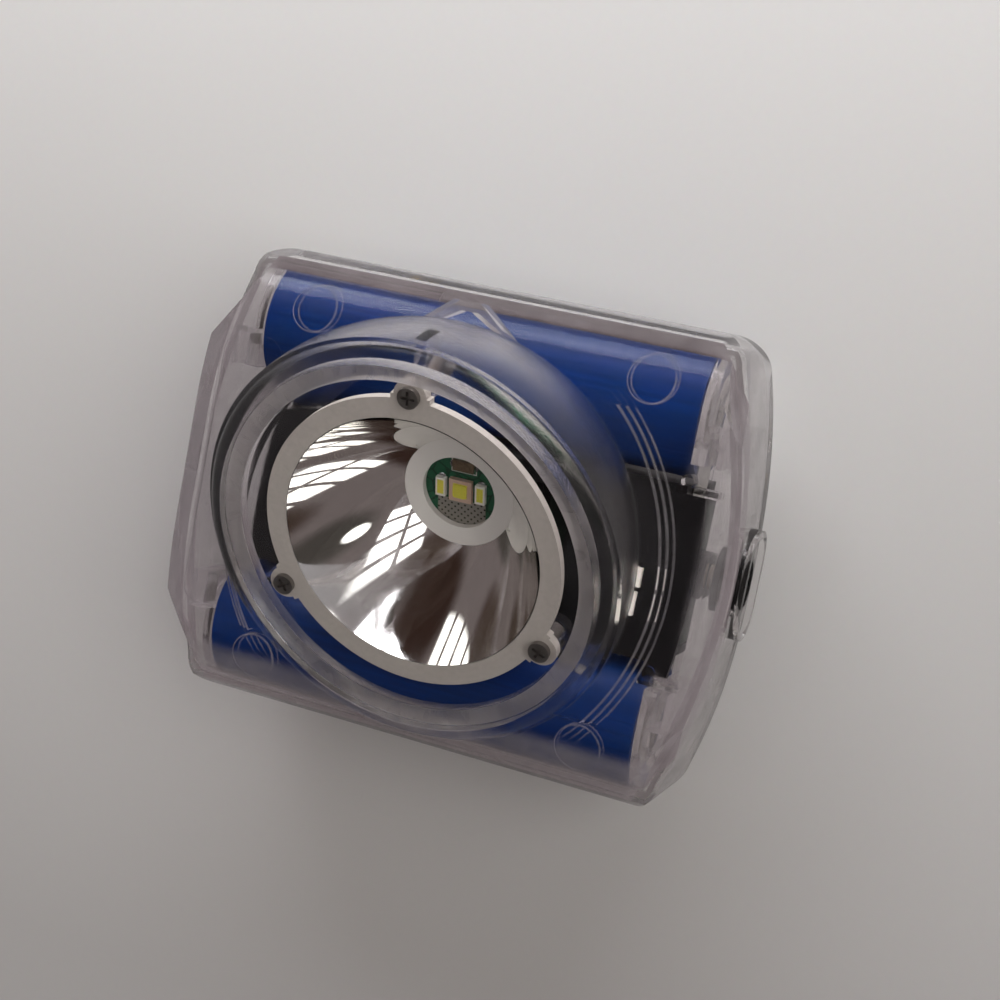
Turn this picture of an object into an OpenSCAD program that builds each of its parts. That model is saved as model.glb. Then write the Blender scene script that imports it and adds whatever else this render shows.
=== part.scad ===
// Cordless miner's cap lamp: a clear moulded casing with two cells, a tilted lens dome and an end push button.
// Millimetres. The lamp lies on its helmet clip: +Z runs out of the front, +Y towards the top as worn,
// +X towards the button end. The origin is the centre of the casing, on the back face of the clip.

/* [Casing] */
// Length of the casing over its bowed ends
case_w = 84.4; // [84.2:0.2:86]
// Radius of the bowed ends, seen from the front
end_bow_r = 95; // [90:5:110]
// Radius of the four corners, seen from the front
corner_r = 5; // [4.5:0.5:6]
// Wall thickness of both shells
wall = 1.9; // [1.8:0.1:2.2]
// Height of the joint between the two shells above the cell axes
part_rise = 6; // [6:0.1:6.4]

/* [Cells] */
// Outside diameter of a sleeved cell
cell_d = 18.4; // [18.2:0.1:18.6]
// Length of a sleeved cell
cell_len = 66; // [65:0.5:66.5]
// Distance between the two cell axes
cell_pitch = 44.4; // [44:0.2:45]
// Offset of the cells towards the button end
cell_shift = 0.5; // [0:0.1:0.6]

/* [Lens head] */
// Downward tilt of the lens axis
lens_tilt = 24.7; // [23:0.1:25]
// Offset of the lens head towards the button end
lens_x = 1; // [0:0.1:1.5]
// Height of the lamp chip's centre above the middle of the casing
lens_y = 4.6; // [4:0.1:5]
// Outer radius of the ball-shaped dome
dome_r = 30.5; // [30:0.1:31]
// Thickness of the dome's wall
dome_wall = 2.2; // [2:0.1:2.5]
// Radius of the window disc
window_r = 27.5; // [27:0.1:28]
// Thickness of the window disc
window_t = 2; // [1.8:0.1:2.2]
// Clear radius inside the window seat
seat_r = 24.95; // [24.9:0.05:25.2]

/* [Reflector] */
// Radius of the mirror at its mouth
mirror_r = 18.9; // [18:0.1:19.2]
// Depth of the mirror
mirror_h = 15.8; // [15.4:0.1:16]
// Radius of the flat ring at the foot of the mirror
foot_r = 8.5; // [8:0.1:9]
// Radius of the hole for the lamp chips
chip_hole_r = 5.55; // [5.2:0.05:6]
// Outer radius of the flat rim
rim_r = 21.85; // [21.5:0.05:22]

/* [Button] */
// Length of the push button along the casing's height
button_w = 7; // [6.6:0.2:7.4]
// Height of the push button through the casing's depth
button_h = 6; // [5.4:0.2:6]
// How far the button is out of its guard when released
button_travel = 0.85; // [0.7:0.05:0.85]

/* [Helmet clip] */
// Thickness of the clip plate
clip_t = 1.2; // [1.2:0.1:1.5]
// Width of the clip plate
clip_w = 36; // [30:1:40]
// Gap between the clip plate and the back of the casing
clip_gap = 4.4; // [4.2:0.1:5]

/* [Hidden] */
$fn = 96;
cell_r = cell_d / 2;
play = 0.2;                                 // room round a cell
half_d = cell_r + play + wall;              // half the casing's depth
half_w = case_w / 2;
half_h = cell_pitch / 2 + half_d;
back_z = clip_t + clip_gap;                 // back face of the casing
axis_z = back_z + half_d;                   // height of the cell axes
front_z = axis_z + half_d;
part_z = axis_z + part_rise;
back_r = 8;                                 // edge radius round the casing's back
end_r = 5;                                  // front edge radius across the casing's ends
end_back_r = 9.5;                           // and the back edge radius there
flat_cut = 0.3;                             // how far one section runs past the next, so that none only touch
corner_out = 0.1;                           // the same for the corner arcs and the bowed ends
big = 200;

lens_z = axis_z + 6.5;                      // height of the mirror's foot
ball_t = 16;                                // distance of the dome's centre along the lens axis
seat_t = 17.4;                              // window seat along the lens axis
seat_h = 1.5;                               // thickness of the window seat
bezel_r = 2.4;                              // roundness of the bezel round the window
board_t = -1.2;                             // top of the lamp board along the lens axis
board_h = 1.6;
board_r = 9;
sink_r = 7.6;
sink_h = 2.5;
sink_t = board_t - board_h - 0.1 - sink_h;  // underside of the heat spreader
ear_r = 22.4;                               // radius of the three ear screws
ear_tip_r = 2.35;
ear_angles = [90, 210, 330];
screw_hole_r = 1.1;
post_h = 4.9;                               // length of the posts that the reflector is screwed to

cell_end = cell_len / 2;
cell_left = cell_shift - cell_end;          // the two ends of the cells
cell_right = cell_shift + cell_end;
strip_t = 0.2;
strip_w = 7;
frame_y = 12.4;                             // half width of the inner frame, between the cells
frame_wall = 1.2;
frame_bottom = back_z + wall;
frame_top = axis_z + 6.2;
frame_left = cell_left + 0.05;
frame_right = cell_right - strip_t - 0.05;
bay_end = half_w - 5.6;                     // end of the frame's roof over the switch
bay_y = 10.1;                               // half width between the two cheeks under that roof
board_z = frame_bottom + frame_wall;        // underside of the control board
parts_z = board_z + 1.2;                    // its top

button_y = 0.4;
button_z = axis_z + 1.4;
guard_w = 15.6;                             // raised oval round the button
guard_h = 9;
guard_out = 1.3;                            // how far the guard stands out
button_play = 0.08;                         // sliding clearance round the button
end_in = half_w - 2.4;                      // inner face of the end wall at the button
flange_t = 1;
plunger_gap = 0.3;
plunger_travel = 0.6;
switch_h = 2.6;
plunger_out = 0.8;
plunger_r = 1.7;
button_back = end_in - 0.05 - flange_t;     // rear face of the button's flange
plunger_tip = button_back - plunger_gap;
switch_face = plunger_tip - plunger_out;
switch_board_x = switch_face - switch_h - 1.2;

clip_low = -26;                             // lower and upper edges of the clip plate
clip_high = 23;
clip_block = [24, 15];                      // raised block that the clip is screwed to
clip_block_y = 14;
clip_screw_x = 8;
clip_screw_r = 1.25;
clip_head_r = 2.35;
insert_r = 1.8;
insert_h = 4.2;

contact_x = -27;                            // charging contacts, beside the clip
contact_pitch = 9;
contact_r = 1.6;
contact_pin_r = 0.8;

// ---- helpers -------------------------------------------------------------------------------------------

// Places its children in the lens frame: +Z along the lens axis, from the foot of the mirror.
module lens() {
    translate([lens_x, lens_y, lens_z]) rotate([lens_tilt, 0, 0]) children();
}

// A ring or disc on the current Z axis, between two heights.
module ring(r_out, r_in, z0, z1) {
    difference() {
        translate([0, 0, z0]) cylinder(r = r_out, h = z1 - z0);
        if (r_in > 0) translate([0, 0, z0 - 1]) cylinder(r = r_in, h = z1 - z0 + 2);
    }
}

// A cuboid from its lowest corner to its highest.
module block(a, b) {
    translate(a) cube(b - a);
}

// A rounded bar in the XY plane: two round ends joined by a square.
module oval(w, h) {
    square([w - h, h], center = true);
    for (s = [-1, 1]) translate([s * (w - h) / 2, 0]) circle(d = h);
}

// The casing's outline from the front: bowed ends and round corners, drawn in by inset.
module front_outline(inset) {
    bow = end_bow_r - inset;
    bow_x = half_w - end_bow_r;
    cr = corner_r - inset;
    cy = half_h - corner_r;
    cx = bow_x + sqrt(pow(end_bow_r - corner_r, 2) - cy * cy) + corner_out;
    tangent_y = cy * bow / (end_bow_r - corner_r);
    intersection() {
        translate([bow_x, 0]) circle(r = bow, $fn = 256);
        translate([-bow_x, 0]) circle(r = bow, $fn = 256);
        square([case_w, 2 * tangent_y], center = true);
    }
    square([2 * cx, 2 * (half_h - inset)], center = true);
    for (sx = [-1, 1], sy = [-1, 1]) translate([sx * cx, sy * cy]) circle(r = cr);
}

// The casing's section across its length: round shoulders in front, a flatter back. It is a little higher
// than the outline from the front, which leaves a narrow flat along the casing's top and bottom.
module side_profile(inset) {
    r = half_d - inset;
    br = back_r - inset;
    by = half_h + flat_cut - back_r;
    bz = axis_z - half_d + back_r;
    for (s = [-1, 1]) translate([s * (cell_pitch / 2 + flat_cut), axis_z]) circle(r = r);
    translate([-cell_pitch / 2, axis_z - r]) square([cell_pitch, 2 * r]);
    for (s = [-1, 1]) translate([s * by, bz]) circle(r = br);
    translate([-by, axis_z - r]) square([2 * by, r]);
    translate([-by - br, bz]) square([2 * (by + br), axis_z - bz]);
}

// The casing's section along its length: the ends are rounded a little in front and well at the back.
module end_profile(inset) {
    x = half_w + flat_cut - inset;
    d = half_d + flat_cut - inset;
    rf = end_r - inset / 2;
    rb = end_back_r - inset;
    translate([-x + rf, axis_z]) square([2 * (x - rf), d]);
    translate([-x + rb, axis_z - d]) square([2 * (x - rb), d + 1]);
    translate([-x, axis_z - d + rb]) square([2 * x, 2 * d - rb - rf]);
    for (s = [-1, 1]) {
        translate([s * (x - rf), axis_z + d - rf]) circle(r = rf);
        translate([s * (x - rb), axis_z - d + rb]) circle(r = rb);
    }
}

// The solid block that both shells are cut from, drawn in by inset.
module casing(inset) {
    intersection() {
        translate([0, 0, back_z - 1]) linear_extrude(2 * half_d + 2) front_outline(inset);
        rotate([90, 0, 90]) translate([0, 0, -half_w - 1]) linear_extrude(case_w + 2) side_profile(inset);
        rotate([90, 0, 0]) translate([0, 0, -half_h - 1]) linear_extrude(2 * half_h + 2) end_profile(inset);
    }
}

module above(z) { block([-big, -big, z], [big, big, z + big]); }
module below(z) { block([-big, -big, z - big], [big, big, z]); }

// A flexible lead: straight runs with round elbows through a list of points.
module lead(points, r) {
    for (i = [0 : len(points) - 2]) {
        run = points[i + 1] - points[i];
        length = norm(run);
        translate(points[i])
            rotate([0, acos(run[2] / length), atan2(run[1], run[0])])
                cylinder(r = r, h = length, $fn = 24);
    }
    for (i = [1 : len(points) - 2]) translate(points[i]) sphere(r = 1.04 * r, $fn = 24);
}

// ---- casing --------------------------------------------------------------------------------------------

loop_z = axis_z + 16;
loop_t = 3;
loop_foot = 6.7;
loop_top = 2;
loop_y = 31.1;
loop_bar = 1.35;                            // width of the loop's bar

// Chevron-shaped lanyard loop on the top of the dome.
module lanyard_loop() {
    foot_y = loop_y - 3.8;
    translate([lens_x, 0, loop_z - loop_t / 2]) linear_extrude(loop_t) difference() {
        polygon([[-loop_foot - 1, foot_y - 1], [-loop_foot, foot_y], [-loop_top, loop_y], [loop_top, loop_y],
                 [loop_foot, foot_y], [loop_foot + 1, foot_y - 1]]);
        polygon([[loop_bar - loop_foot, foot_y - 0.4], [loop_bar - loop_foot, foot_y],
                 [1.1 - loop_top, loop_y - loop_bar], [loop_top - 1.1, loop_y - loop_bar],
                 [loop_foot - loop_bar, foot_y], [loop_foot - loop_bar, foot_y - 0.4]]);
    }
}

// Slanted cuts that blunt the four front corners.
cut_at = [half_w - 4.9, half_h - 8.3, axis_z + 8.6];
cut_turn = 34;
cut_lean = 67;
module corner_cuts() {
    for (sx = [0, 1], sy = [0, 1]) mirror([sx, 0, 0]) mirror([0, sy, 0])
        translate(cut_at) rotate([0, 0, cut_turn]) rotate([0, cut_lean, 0])
            translate([-20, -20, 0]) cube([40, 40, 30]);
}

// Low steps round the foot of the dome, on the flat of the casing's front.
plinth_y = 21.5;
module plinth() {
    intersection() {
        translate([lens_x, lens_y - ball_t * sin(lens_tilt), 0])
            for (i = [0 : 2]) translate([0, 0, front_z - 1])
                cylinder(r = 33.9 - 0.8 * i, h = 1.7 + 0.7 * i);
        block([-big, -plinth_y, 0], [big, plinth_y, big]);
    }
}

// Round pads on the shoulders and framed panels at the ends of the front, raised a little from the casing.
pad_x = 25.4;
pad_y = 25.7;
pad_rise = 0.25;
panel = [9.4, 40.6];
module front_pads() {
    intersection() {
        casing(-pad_rise);
        translate([0, 0, axis_z + 8]) {
            for (sx = [-1, 1], sy = [-1, 1]) translate([lens_x + sx * pad_x, sy * pad_y, 0])
                cylinder(r = 3.3, h = 10);
            for (s = [-1, 1]) translate([s * 32.6, 0, 0]) linear_extrude(10) {
                square([panel[0], panel[1] - 6], center = true);
                square([panel[0] - 6, panel[1]], center = true);
                for (sx = [-1, 1], sy = [-1, 1]) translate([sx * (panel[0] / 2 - 3), sy * (panel[1] / 2 - 3)])
                    circle(r = 3);
            }
        }
    }
}

// Long slots in the shoulders, on the half away from the button, where the shells are levered apart.
slot_z = part_z + 0.8;
slot_h = 1.3;
module pry_slots() {
    for (s = [-1, 1]) block([-35, s * 32.5 - 2.5, slot_z], [-7, s * 32.5 + 2.5, slot_z + slot_h]);
}

module gasket_groove() {
    intersection() {
        difference() { casing(0.6); casing(1.35); }
        block([-big, -big, part_z - 0.4], [big, big, part_z + 0.4]);
    }
}

// Ribs that box in the switch compartment, each with a round peg above it.
rib_ys = [12.1, -14.5];
module compartment_ribs() {
    z = frame_top + 0.1;
    for (y = rib_ys) {
        block([lens_x + 31.4, y - 0.5, z], [half_w - 4, y + 0.5, front_z - wall + 0.5]);
        translate([lens_x + 32.7, y + 1.2, z + 0.6]) cylinder(r = 0.9, h = front_z - wall + 0.3 - z - 0.6);
    }
}

// Posts inside the dome for the three ear screws, each with a web to the dome's wall.
module ear_posts() {
    top = mirror_h - 1.45;
    lens() for (a = ear_angles) rotate(a) difference() {
        union() {
            translate([ear_r, 0, top - post_h]) cylinder(r = 2.3, h = post_h);
            translate([ear_r, -0.8, top - post_h]) cube([dome_r - dome_wall / 2 - ear_r, 1.6, post_h - 0.6]);
        }
        translate([ear_r, 0, top - 4]) cylinder(r = screw_hole_r + 0.02, h = 5);
    }
}

module front_shell() {
    color([0.86, 0.87, 0.88, 0.45]) {
        difference() {
            union() {
                difference() {
                    union() {
                        intersection() { casing(0); above(part_z); }
                        plinth();
                        front_pads();
                    }
                    corner_cuts();
                }
                difference() {
                    lens() intersection() {
                        translate([0, 0, ball_t]) sphere(r = dome_r, $fn = 128);
                        translate([0, 0, seat_t - big]) cylinder(r = big, h = big);
                    }
                    below(front_z - 6);
                }
                lens() rotate_extrude($fn = 128) intersection() {
                    union() {
                        translate([window_r, seat_t - 0.1]) circle(r = bezel_r);
                        translate([20, seat_t - seat_h]) square([window_r - 20, seat_h]);
                    }
                    translate([seat_r, 0]) square([20, 40]);
                }
                lanyard_loop();
            }
            casing(wall);
            lens() intersection() {
                translate([0, 0, ball_t]) sphere(r = dome_r - dome_wall, $fn = 128);
                translate([0, 0, seat_t - seat_h - big]) cylinder(r = big, h = big);
            }
            lens() translate([0, 0, seat_t - 5]) cylinder(r = seat_r, h = 20, $fn = 128);
            lens() translate([0, 0, seat_t]) cylinder(r = window_r + 0.1, h = 20, $fn = 128);
            gasket_groove();
            pry_slots();
        }
        compartment_ribs();
        ear_posts();
    }
}

module rear_shell() {
    color([0.84, 0.85, 0.86, 0.45]) difference() {
        union() {
            intersection() { casing(0); below(part_z); }
            translate([end_in, button_y, button_z]) rotate([90, 0, 90])
                linear_extrude(half_w - end_in + guard_out) oval(guard_w, guard_h);
            translate([0, clip_block_y, clip_t]) linear_extrude(clip_gap + 1)
                square(clip_block, center = true);
        }
        difference() {
            casing(wall);
            block([end_in, -12, 0], [half_w, 12, part_z - 2.5]);
        }
        translate([end_in - 1, button_y, button_z]) rotate([90, 0, 90])
            linear_extrude(10) oval(button_w + 2 * button_play, button_h + 2 * button_play);
        translate([half_w - 0.8, button_y, button_z]) rotate([90, 0, 90])
            linear_extrude(1) oval(button_w + 2, button_h + 2);
        translate([half_w + guard_out - 0.9, button_y, button_z]) rotate([90, 0, 90])
            linear_extrude(1) oval(guard_w - 2.4, guard_h - 2.2);
        for (s = [-1, 1]) {
            translate([s * clip_screw_x, clip_block_y, clip_t - 1]) cylinder(r = insert_r, h = insert_h + 1);
            translate([contact_x, s * contact_pitch / 2, back_z - 1]) cylinder(r = contact_r, h = 5);
        }
        gasket_groove();
    }
}

module shell_gasket() {
    color([0.55, 0.56, 0.58]) gasket_groove();
}

// ---- window and light source ---------------------------------------------------------------------------

module window() {
    color([0.93, 0.95, 0.97, 0.3]) lens() ring(window_r, 0, seat_t + 0.15, seat_t + 0.15 + window_t);
}

module window_seal() {
    color([0.78, 0.77, 0.75]) lens() ring(window_r - 0.1, seat_r + 0.05, seat_t, seat_t + 0.15);
}

// Parabola through the foot and the mouth of the mirror.
parabola = (mirror_r * mirror_r - foot_r * foot_r) / mirror_h;
function bowl_r(z) = sqrt(foot_r * foot_r + parabola * z);
bowl_steps = 16;
bowl_wall = 1.1;

module reflector() {
    color([0.82, 0.82, 0.80]) lens() difference() {
        union() {
            rotate_extrude($fn = 128) polygon(concat(
                [[chip_hole_r, -1], [chip_hole_r, 0]],
                [for (i = [0 : bowl_steps]) let (z = mirror_h * i / bowl_steps) [bowl_r(z), z]],
                [[rim_r, mirror_h], [rim_r, mirror_h - 1.2]],
                [for (i = [bowl_steps : -1 : 0])
                    let (z = (mirror_h - 1.2) * i / bowl_steps) [bowl_r(z) + bowl_wall, z]],
                [[foot_r + bowl_wall, -1]]));
            for (a = ear_angles) rotate(a) {
                translate([rim_r - 1.5, -2.8, mirror_h - 1.4]) cube([ear_r - rim_r + 1.5, 5.6, 1.4]);
                translate([ear_r, 0, mirror_h - 1.4]) cylinder(r = ear_tip_r, h = 1.4);
            }
        }
        for (a = ear_angles) rotate(a) translate([ear_r, 0, mirror_h - 3])
            cylinder(r = screw_hole_r + 0.1, h = 4);
    }
}

module reflector_screws() {
    color([0.72, 0.72, 0.74]) lens() for (a = ear_angles) rotate(a) translate([ear_r, 0, mirror_h]) {
        difference() {
            cylinder(r = 1.5, h = 0.8);
            for (r = [0, 90]) rotate(r) translate([-1, -0.2, 0.2]) cube([2, 0.4, 1]);
        }
        translate([0, 0, -5.2]) cylinder(r = screw_hole_r, h = 5.3);
    }
}

module lamp_board() {
    color([0.07, 0.32, 0.18]) lens() difference() {
        ring(board_r, 0, board_t - board_h, board_t);
        for (s = [-1, 1]) translate([s * 7, 0, board_t - 3]) cylinder(r = 0.7, h = 4);
    }
}

module main_chip() {
    color([0.93, 0.80, 0.30]) lens() {
        translate([-1.725, -1.725, board_t]) cube([3.45, 3.45, 0.7]);
        translate([0, 0, board_t + 0.6]) linear_extrude(0.35) {
            square([2.1, 1.3], center = true);
            square([1.3, 2.1], center = true);
            for (sx = [-1, 1], sy = [-1, 1]) translate([sx * 0.65, sy * 0.65]) circle(r = 0.4);
        }
    }
}

module side_chips() {
    color([0.90, 0.82, 0.25]) lens() for (s = [-1, 1])
        translate([s * 3.05 - 0.75, -1.4, board_t]) cube([1.5, 2.9, 0.75]);
}

module board_resistor() {
    color([0.16, 0.13, 0.12]) lens() translate([-1.3, 3.1, board_t]) cube([3.2, 1.6, 0.55]);
}

// Two pale status lamps on the frame's roof, seen through the flank of the dome.
module status_chips() {
    color([0.92, 0.91, 0.86]) {
        block([27.4, -2.6, frame_top], [29.5, 0.1, frame_top + 0.7]);
        block([27.2, -6.6, frame_top], [29.3, -3.3, frame_top + 0.7]);
    }
}

module thermal_pad() {
    color([0.62, 0.64, 0.66]) lens() ring(sink_r, 0, board_t - board_h - 0.1, board_t - board_h);
}

module heat_spreader() {
    color([0.80, 0.81, 0.83]) lens() ring(sink_r, 0, sink_t, sink_t + sink_h);
}

// ---- inner frame and cells -----------------------------------------------------------------------------

// Black moulded frame between the cells: a tray for the control board, a pillar under the light source and
// a roofed bay for the switch at the button end.
module inner_frame() {
    pillar = 7.4;
    color([0.07, 0.07, 0.08]) difference() {
        union() {
            difference() {
                block([frame_left, -frame_y, frame_bottom], [frame_right, frame_y, frame_top]);
                block([frame_left + frame_wall, -frame_y + frame_wall, frame_bottom + frame_wall],
                      [frame_right - frame_wall, frame_y - frame_wall, frame_top - frame_wall]);
                lens() translate([0, 0, board_t - board_h - 0.2]) cylinder(r = 17.2, h = 40);
                lens() translate([0, 0, sink_t - 0.05]) cylinder(r = sink_r + 0.4, h = 10);
            }
            intersection() {
                block([lens_x - pillar, -4.4, frame_bottom + 0.5],
                      [lens_x + pillar, frame_y - 0.5, frame_top + 4]);
                lens() translate([-big, -big, sink_t - 0.05 - big]) cube([2 * big, 2 * big, big]);
            }
            intersection() {
                block([frame_right - frame_wall, rib_ys[1] + 0.3, frame_top - frame_wall],
                      [bay_end, rib_ys[0] - 0.6, frame_top]);
                translate([half_w - end_bow_r, 0, 0]) cylinder(r = end_bow_r - 5.6, h = big, $fn = 256);
            }
            for (s = [-1, 1]) block([cell_right + 0.6, s * (bay_y + 0.6) - 0.6, axis_z - 5.5],
                                    [bay_end - 1.2, s * (bay_y + 0.6) + 0.6, frame_top - 0.5]);
        }
        for (s = [-1, 1]) translate([contact_x, s * contact_pitch / 2, frame_bottom - 1])
            cylinder(r = contact_pin_r + 0.3, h = frame_wall + 2);
        for (x = [frame_left, frame_right - frame_wall], y = [-6, 6])
            block([x - 1, y - 1.6, axis_z - 6], [x + frame_wall + 0.8, y + 1.6, axis_z - 2]);
    }
}

can_r = cell_r - 0.25;
lip_r = 6.8;                                // hole left open by the sleeve at both ends
cap_r = 3.4;
// One cell: a steel can with a recess round its positive cap.
module cell(y) {
    translate([cell_shift, y, axis_z]) rotate([0, 90, 0]) rotate_extrude()
        polygon([[0, -cell_end + 0.2], [can_r, -cell_end + 0.2], [can_r, cell_end - 0.4],
                 [lip_r, cell_end - 0.4], [lip_r, cell_end - 1.4], [cap_r, cell_end - 1.4],
                 [cap_r, cell_end - 0.2], [0, cell_end - 0.2]]);
}

module upper_cell() { color([0.75, 0.76, 0.78]) cell(cell_pitch / 2); }
module lower_cell() { color([0.75, 0.76, 0.78]) cell(-cell_pitch / 2); }

module cell_sleeves() {
    color([0.07, 0.17, 0.45]) for (s = [-1, 1])
        translate([cell_shift, s * cell_pitch / 2, axis_z]) rotate([0, 90, 0]) rotate_extrude()
            polygon([[lip_r, -cell_end], [cell_r, -cell_end], [cell_r, cell_end - 0.2], [lip_r, cell_end - 0.2],
                     [lip_r, cell_end - 0.4], [can_r, cell_end - 0.4], [can_r, -cell_end + 0.2],
                     [lip_r, -cell_end + 0.2]]);
}

// White card rings round the positive caps.
module cell_rings() {
    color([0.92, 0.92, 0.90]) for (s = [-1, 1])
        translate([cell_right - 1.4, s * cell_pitch / 2, axis_z]) rotate([0, 90, 0])
            ring(lip_r - 0.1, cap_r + 0.1, 0, 0.3);
}

// Welded strip that joins both cells, with a slit over each of them.
module strip(x, weld_x) {
    color([0.78, 0.78, 0.76]) difference() {
        union() {
            block([x, -cell_pitch / 2 - 4, axis_z - strip_w / 2],
                  [x + strip_t, cell_pitch / 2 + 4, axis_z + strip_w / 2]);
            for (s = [-1, 1]) translate([weld_x, s * cell_pitch / 2, axis_z]) rotate([0, 90, 0])
                cylinder(r = 3.2, h = 2 * strip_t);
        }
        for (s = [-1, 1]) block([x - 1, s * cell_pitch / 2 - 2.6, axis_z - 0.3],
                                [x + 1, s * cell_pitch / 2 + 2.6, axis_z + 0.3]);
    }
}

module positive_strip() { strip(cell_right - strip_t, cell_right - strip_t); }
module negative_strip() { strip(cell_left - strip_t, cell_left - strip_t); }

// Clear end spacers: a shaped plate with two hollow pegs, open in the middle for the switch bay.
spacer_t = 1.2;
peg_y = 17.6;
peg_t = 3.1;
module spacer(side) {
    x0 = side > 0 ? cell_right + 0.1 : cell_left - 0.25 - spacer_t;
    peg_x = side > 0 ? x0 + spacer_t - 0.1 : x0 - peg_t + 0.1;
    color([0.88, 0.89, 0.90, 0.5]) intersection() {
        difference() {
            union() {
                block([x0, -half_h, back_z], [x0 + spacer_t, half_h, front_z]);
                for (s = [-1, 1]) block([peg_x, s * peg_y - 3.5, axis_z - 6],
                                        [peg_x + peg_t, s * peg_y + 3.5, front_z]);
            }
            for (s = [-1, 1]) block([peg_x + 0.8, s * peg_y - 2.7, axis_z - 5.2],
                                    [peg_x + peg_t - 0.8, s * peg_y + 2.7, front_z + 1]);
            block([x0 - 5, -peg_y + 2, back_z], [x0 + 6, peg_y - 2, front_z + 1]);
            for (s = [-1, 1]) translate([x0 - 5, s * cell_pitch / 2, axis_z]) rotate([0, 90, 0])
                cylinder(r = 5, h = 12);
        }
        casing(wall + 0.15);
    }
}

module left_spacer() { spacer(-1); }
module right_spacer() { spacer(1); }

// ---- electronics ---------------------------------------------------------------------------------------

module control_board() {
    color([0.06, 0.20, 0.12]) difference() {
        block([frame_left + frame_wall + 0.2, -10.6, board_z], [frame_right - frame_wall - 0.2, 10.6, parts_z]);
        block([lens_x - 9.2, -5.2, board_z - 1], [lens_x + 9.2, 11, parts_z + 1]);
    }
}

module control_parts() {
    z = parts_z;
    color([0.12, 0.12, 0.13]) {
        block([14, -2.5, z], [19, 2.5, z + 1.5]);
        block([22, -6, z], [26, -2, z + 1.2]);
        block([-20, -4, z], [-14, 1, z + 1.6]);
        for (x = [-29, -26, -23]) block([x, 4, z], [x + 1.6, 7.2, z + 0.8]);
        for (x = [13, 16, 19]) block([x, 5, z], [x + 1.6, 8.2, z + 0.8]);
    }
}

module power_coil() {
    color([0.20, 0.20, 0.22]) translate([-24.2, -4.6, parts_z]) rotate_extrude()
        polygon([[0, 0], [3.6, 0], [3.6, 1], [2.6, 1], [2.6, 3], [3.6, 3], [3.6, 4], [0, 4]]);
}

module switch_board() {
    color([0.05, 0.22, 0.13])
        block([switch_board_x, -bay_y + 0.1, axis_z - 5],
              [switch_board_x + 1.2, bay_y - 0.1, frame_top - frame_wall - 0.1]);
}

module switch_body() {
    x = switch_board_x + 1.2;
    color([0.10, 0.10, 0.11]) difference() {
        block([x, button_y - 3, button_z - 3], [switch_face, button_y + 3, button_z + 3]);
        translate([x + 1, button_y, button_z]) rotate([0, 90, 0]) cylinder(r = plunger_r + 0.05, h = 9);
    }
}

module switch_plunger() {
    x0 = switch_board_x + 1.2 + 1 + plunger_travel + 0.1;
    color([0.55, 0.50, 0.42]) translate([x0, button_y, button_z]) rotate([0, 90, 0])
        cylinder(r = plunger_r, h = plunger_tip - x0);
}

button_face = half_w + 0.45;
module button_cap() {
    color([0.04, 0.04, 0.04]) translate([0, button_y, button_z]) rotate([90, 0, 90]) {
        difference() {
            translate([0, 0, button_back]) linear_extrude(button_face - button_back) oval(button_w, button_h);
            for (i = [-1 : 1]) translate([i * 1.6, 0, button_face - 0.25]) linear_extrude(1)
                square([0.6, 3.4], center = true);
        }
        translate([0, 0, button_back]) linear_extrude(flange_t) oval(button_w + 2, button_h + 2);
    }
}

module button_seal() {
    color([0.12, 0.12, 0.12]) translate([half_w - 0.75, button_y, button_z]) rotate([90, 0, 90])
        linear_extrude(0.9) difference() {
            oval(button_w + 1.9, button_h + 1.9);
            oval(button_w + 2 * button_play, button_h + 2 * button_play);
        }
}

wire_r = 0.65;
thin_r = 0.45;
module battery_wires() {
    z = axis_z - 3;
    color([0.65, 0.08, 0.08]) {
        lead([[frame_left, -6, z], [frame_left + 3.4, -6, z], [frame_left + 3.4, -6, parts_z + 0.05]], wire_r);
        lead([[frame_right, 6, z], [frame_right - 2.6, 6, z], [frame_right - 2.6, 6, parts_z + 0.05]], wire_r);
    }
}

// The two leads end on the underside of the lamp board, outside the heat spreader.
module lamp_wires() {
    u = board_r - 0.55;
    lean = [0, sin(lens_tilt), -cos(lens_tilt)];
    end = [0, lens_y, lens_z] - (board_t - board_h - 0.05) * lean;
    color([0.85, 0.85, 0.82]) for (s = [-1, 1])
        lead([[lens_x + s * (u + 2), -4, parts_z + 0.05], [lens_x + s * (u + 2), -4, axis_z],
              [lens_x + s * u, 0, 0] + end + 3.4 * lean, [lens_x + s * u, 0, 0] + end], thin_r);
}

module switch_wires() {
    z = axis_z - 4.2;
    color([0.82, 0.72, 0.10]) for (y = [-6.8, -5.2])
        lead([[switch_board_x - 0.05, y, z], [frame_right - 2.8, y, z], [frame_right - 2.8, y, parts_z + 0.05]],
             thin_r);
}

// Two charging contacts in the casing's back: a flange outside, a barrel in the wall and a pin to the board.
module charge_contacts() {
    color([0.80, 0.66, 0.30]) for (s = [-1, 1]) translate([contact_x, s * contact_pitch / 2, 0]) {
        translate([0, 0, back_z - 0.3]) cylinder(r = 2.2, h = 0.3);
        translate([0, 0, back_z - 0.1]) cylinder(r = contact_r - 0.05, h = wall);
        translate([0, 0, back_z]) cylinder(r = contact_pin_r, h = board_z - back_z);
    }
}

// ---- helmet clip ---------------------------------------------------------------------------------------

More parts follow.
